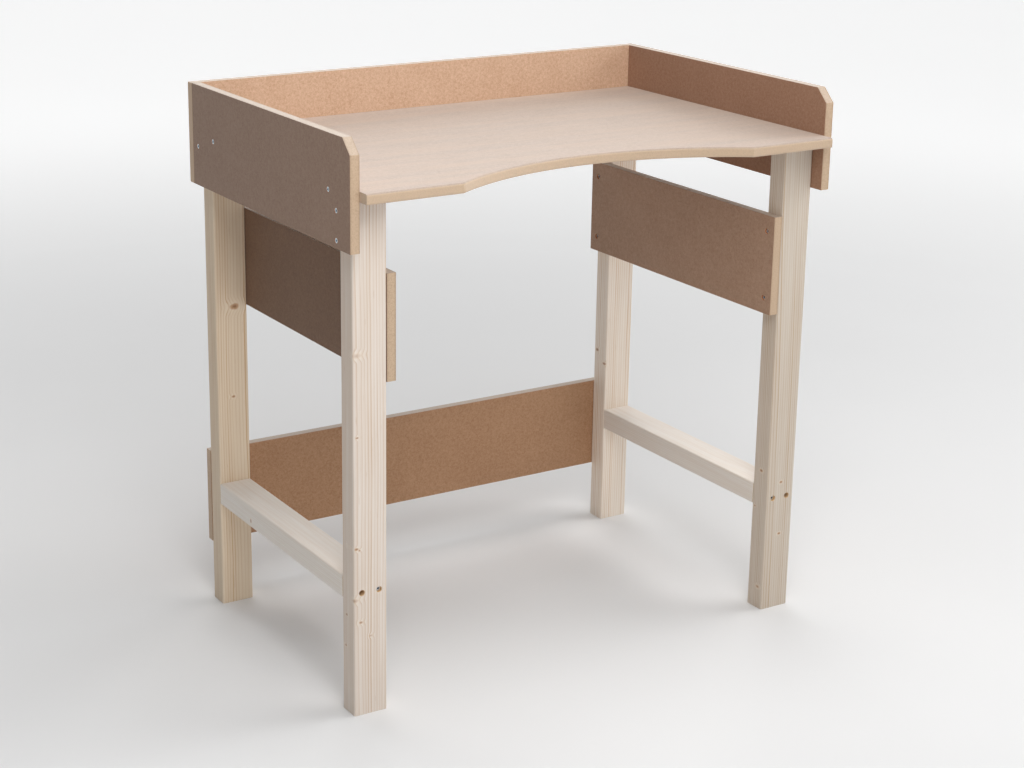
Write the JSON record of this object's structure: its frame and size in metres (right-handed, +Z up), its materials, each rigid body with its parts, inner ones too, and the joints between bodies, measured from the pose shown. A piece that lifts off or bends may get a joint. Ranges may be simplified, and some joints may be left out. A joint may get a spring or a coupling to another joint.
{
  "type": "workbench",
  "caption": "Self-assembly workbench with spruce leg frames, raised MDF side and back boards, and a worktop with a curved recess in its front edge.",
  "frame": {"origin": "on the floor, under the middle of the bench's bounding box", "axes": "+Z up, -Y to the front where the user sits, +X to the user's right"},
  "size_m": [0.9, 0.59, 0.922],
  "materials": {
    "spruce_leg": "planed spruce, untreated",
    "spruce_rail": "planed spruce, untreated",
    "mdf_worktop": "sanded MDF, matte",
    "mdf_board": "raw MDF, matte",
    "zinc_screw": "bright zinc plate"
  },
  "bodies": {
    "root": {"leg_front_left": "spruce_leg", "leg_front_right": "spruce_leg", "leg_rear_left": "spruce_leg", "leg_rear_right": "spruce_leg", "rail_left": "spruce_rail", "rail_right": "spruce_rail", "worktop": "mdf_worktop", "side_board_left": "mdf_board", "side_board_right": "mdf_board", "upper_back_board": "mdf_board", "lower_back_board": "mdf_board", "apron_left": "mdf_board", "apron_right": "mdf_board", "side_board_screws_left": "zinc_screw", "side_board_screws_right": "zinc_screw", "worktop_screws_left": "zinc_screw", "worktop_screws_right": "zinc_screw", "apron_screws_left": "zinc_screw", "apron_screws_right": "zinc_screw", "rail_screws_front_left": "zinc_screw", "rail_screws_front_right": "zinc_screw", "rail_screws_rear_left": "zinc_screw", "rail_screws_rear_right": "zinc_screw", "upper_back_screws": "zinc_screw", "lower_back_screws": "zinc_screw"}
  },
  "joints": []
}
